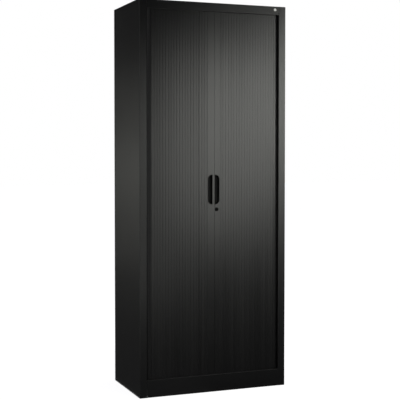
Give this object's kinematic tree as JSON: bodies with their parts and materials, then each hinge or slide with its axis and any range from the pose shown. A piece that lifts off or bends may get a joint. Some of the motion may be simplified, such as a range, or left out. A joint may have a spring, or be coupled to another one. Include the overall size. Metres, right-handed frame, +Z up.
{
  "type": "tambour door storage cabinet",
  "caption": "Tall black steel storage cabinet with a framed front and two side-opening roll fronts of narrow upright slats, with recessed finger pulls and a lock.",
  "frame": {"origin": "on the floor, under the middle of the cabinet", "axes": "+Z up, +Y from the doors to the back, +X to the right as seen from the front"},
  "size_m": [0.8, 0.4332, 1.98],
  "materials": {
    "black_powder_coat": "semi-gloss, very fine orange peel",
    "black_slat_plastic": "satin",
    "black_coated_aluminium": "satin",
    "black_nylon": "matt",
    "black_moulded_plastic": "matt black",
    "black_rubber": "matt",
    "matt_black_lock": "matt black",
    "zinc_plated_steel": "bright zinc",
    "badge_aluminium": "satin"
  },
  "bodies": {
    "carcass": {"back_panel": "black_powder_coat", "back_screws": "zinc_plated_steel", "badge": "badge_aluminium", "base_panel": "black_powder_coat", "bottom_rail": "black_powder_coat", "ceiling_panel": "black_powder_coat", "deck": "black_powder_coat", "deck_caps": "black_moulded_plastic", "foot_nuts": "zinc_plated_steel", "left_bottom_track": "black_nylon", "left_inner_liner": "black_powder_coat", "left_side_panel": "black_powder_coat", "left_slat_glides": "black_nylon", "left_slats": "black_slat_plastic", "left_top_track": "black_nylon", "left_uprights": "black_powder_coat", "right_bottom_track": "black_nylon", "right_inner_liner": "black_powder_coat", "right_side_panel": "black_powder_coat", "right_slat_glides": "black_nylon", "right_slats": "black_slat_plastic", "right_top_track": "black_nylon", "right_uprights": "black_powder_coat", "shelf_1": "black_powder_coat", "shelf_2": "black_powder_coat", "shelf_3": "black_powder_coat", "shelf_4": "black_powder_coat", "shelf_clips": "zinc_plated_steel", "tail_stops": "black_rubber", "top_panel": "black_powder_coat"},
    "left_door": {"left_lead_profile": "black_coated_aluminium", "left_finger_pull": "black_moulded_plastic", "left_lead_caps": "black_nylon", "strike": "zinc_plated_steel"},
    "right_door": {"right_lead_profile": "black_coated_aluminium", "right_finger_pull": "black_moulded_plastic", "right_lead_caps": "black_nylon", "meeting_seal": "black_rubber", "lock_barrel": "matt_black_lock", "lock_nut": "zinc_plated_steel"},
    "lock_core": {"lock_plug": "matt_black_lock", "lock_hook": "zinc_plated_steel", "hook_screw": "zinc_plated_steel"},
    "front_left_foot": {"front_left_foot_pad": "black_moulded_plastic", "front_left_foot_stud": "zinc_plated_steel"},
    "front_right_foot": {"front_right_foot_pad": "black_moulded_plastic", "front_right_foot_stud": "zinc_plated_steel"},
    "rear_left_foot": {"rear_left_foot_pad": "black_moulded_plastic", "rear_left_foot_stud": "zinc_plated_steel"},
    "rear_right_foot": {"rear_right_foot_pad": "black_moulded_plastic", "rear_right_foot_stud": "zinc_plated_steel"}
  },
  "joints": [
    {"name": "left_door_slide", "type": "slide", "parent": "carcass", "child": "left_door", "axis": [-1, 0, 0], "range_m": [0, 0.291], "deforming": ["left_slats", "left_slat_glides"]},
    {"name": "right_door_slide", "type": "slide", "parent": "carcass", "child": "right_door", "axis": [1, 0, 0], "range_m": [0, 0.291], "deforming": ["right_slats", "right_slat_glides"]},
    {"name": "lock_turn", "type": "hinge", "parent": "right_door", "child": "lock_core", "pos_m": [0.017, -0.205, 0.9345], "axis": [0, -1, 0], "range_deg": [0, 90]},
    {"name": "front_left_foot_screw", "type": "slide", "parent": "carcass", "child": "front_left_foot", "axis": [0, 0, 1], "range_m": [-0.015, 0]},
    {"name": "front_right_foot_screw", "type": "slide", "parent": "carcass", "child": "front_right_foot", "axis": [0, 0, 1], "range_m": [-0.015, 0]},
    {"name": "rear_left_foot_screw", "type": "slide", "parent": "carcass", "child": "rear_left_foot", "axis": [0, 0, 1], "range_m": [-0.015, 0]},
    {"name": "rear_right_foot_screw", "type": "slide", "parent": "carcass", "child": "rear_right_foot", "axis": [0, 0, 1], "range_m": [-0.015, 0]}
  ]
}
